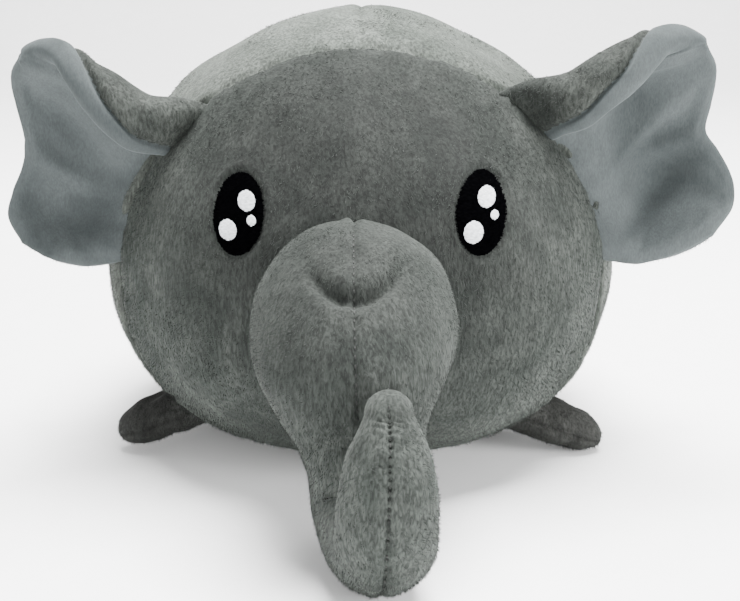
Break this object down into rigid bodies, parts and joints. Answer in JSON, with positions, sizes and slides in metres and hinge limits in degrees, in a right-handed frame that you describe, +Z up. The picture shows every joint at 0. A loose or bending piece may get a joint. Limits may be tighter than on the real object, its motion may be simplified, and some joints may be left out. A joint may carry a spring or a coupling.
{
  "type": "stuffed elephant",
  "caption": "Round plush elephant with a sewn face panel, a curled trunk that swings and uncurls, folded ears that flap, short feet and a tail.",
  "frame": {"origin": "on the surface the toy sits on, under the middle of the belly", "axes": "-Y is the way the face looks, +X is the toy's own left, +Z is up"},
  "size_m": [0.3216, 0.3669, 0.204],
  "materials": {
    "plush": "short grey-green plush pile",
    "ear_plush": "smooth bluish-grey short pile",
    "foot_plush": "dark grey short pile",
    "filling": "white polyester fibre fill and batting",
    "black_thread": "dense black embroidery",
    "white_thread": "dense white embroidery",
    "label_satin": "blank woven satin ribbon"
  },
  "bodies": {
    "body": {"face_panel": "plush", "back_panel_left": "plush", "back_panel_right": "plush", "belly_panel": "plush", "body_stuffing": "filling", "snout_skin_left": "plush", "snout_skin_right": "plush", "snout_stuffing": "filling", "care_label": "label_satin", "eye_left_black": "black_thread", "eye_left_highlight_upper": "white_thread", "eye_left_highlight_lower": "white_thread", "eye_left_highlight_small": "white_thread", "foot_front_left_upper": "foot_plush", "foot_front_left_lower": "foot_plush", "foot_front_left_stuffing": "filling", "foot_rear_left_upper": "foot_plush", "foot_rear_left_lower": "foot_plush", "foot_rear_left_stuffing": "filling", "eye_right_black": "black_thread", "eye_right_highlight_upper": "white_thread", "eye_right_highlight_lower": "white_thread", "eye_right_highlight_small": "white_thread", "foot_front_right_upper": "foot_plush", "foot_front_right_lower": "foot_plush", "foot_front_right_stuffing": "filling", "foot_rear_right_upper": "foot_plush", "foot_rear_right_lower": "foot_plush", "foot_rear_right_stuffing": "filling"},
    "trunk": {"trunk_skin_left": "plush", "trunk_skin_right": "plush", "trunk_stuffing": "filling"},
    "trunk_tip": {"trunk_tip_skin_left": "plush", "trunk_tip_skin_right": "plush", "trunk_tip_stuffing": "filling"},
    "ear_left": {"ear_left_inner": "ear_plush", "ear_left_outer": "plush", "ear_left_batting": "filling"},
    "ear_right": {"ear_right_inner": "ear_plush", "ear_right_outer": "plush", "ear_right_batting": "filling"},
    "tail": {"tail_skin": "plush", "tail_stuffing": "filling", "tail_tuft": "foot_plush"}
  },
  "joints": [
    {"name": "trunk_swing", "type": "hinge", "parent": "body", "child": "trunk", "pos_m": [0, -0.14597, 0.051], "axis": [0, -1, 0], "range_deg": [-15, 15], "stiffness_Nm_per_rad": 0.4},
    {"name": "trunk_uncurl", "type": "hinge", "parent": "trunk", "child": "trunk_tip", "pos_m": [0.0052, -0.16947, 0.0208], "axis": [1, 0, 0], "range_deg": [0, 30], "stiffness_Nm_per_rad": 0.2},
    {"name": "ear_left_flap", "type": "hinge", "parent": "body", "child": "ear_left", "pos_m": [0.1048, -0.049, 0.127], "axis": [-0.4345, 0, 0.9007], "range_deg": [-25, 25], "stiffness_Nm_per_rad": 0.3},
    {"name": "ear_right_flap", "type": "hinge", "parent": "body", "child": "ear_right", "pos_m": [-0.1048, -0.049, 0.127], "axis": [0.4345, 0, 0.9007], "range_deg": [-25, 25], "stiffness_Nm_per_rad": 0.3},
    {"name": "tail_swing", "type": "hinge", "parent": "body", "child": "tail", "pos_m": [0, 0.12482, 0.074], "axis": [0, 0, 1], "range_deg": [-25, 25], "stiffness_Nm_per_rad": 0.02}
  ]
}
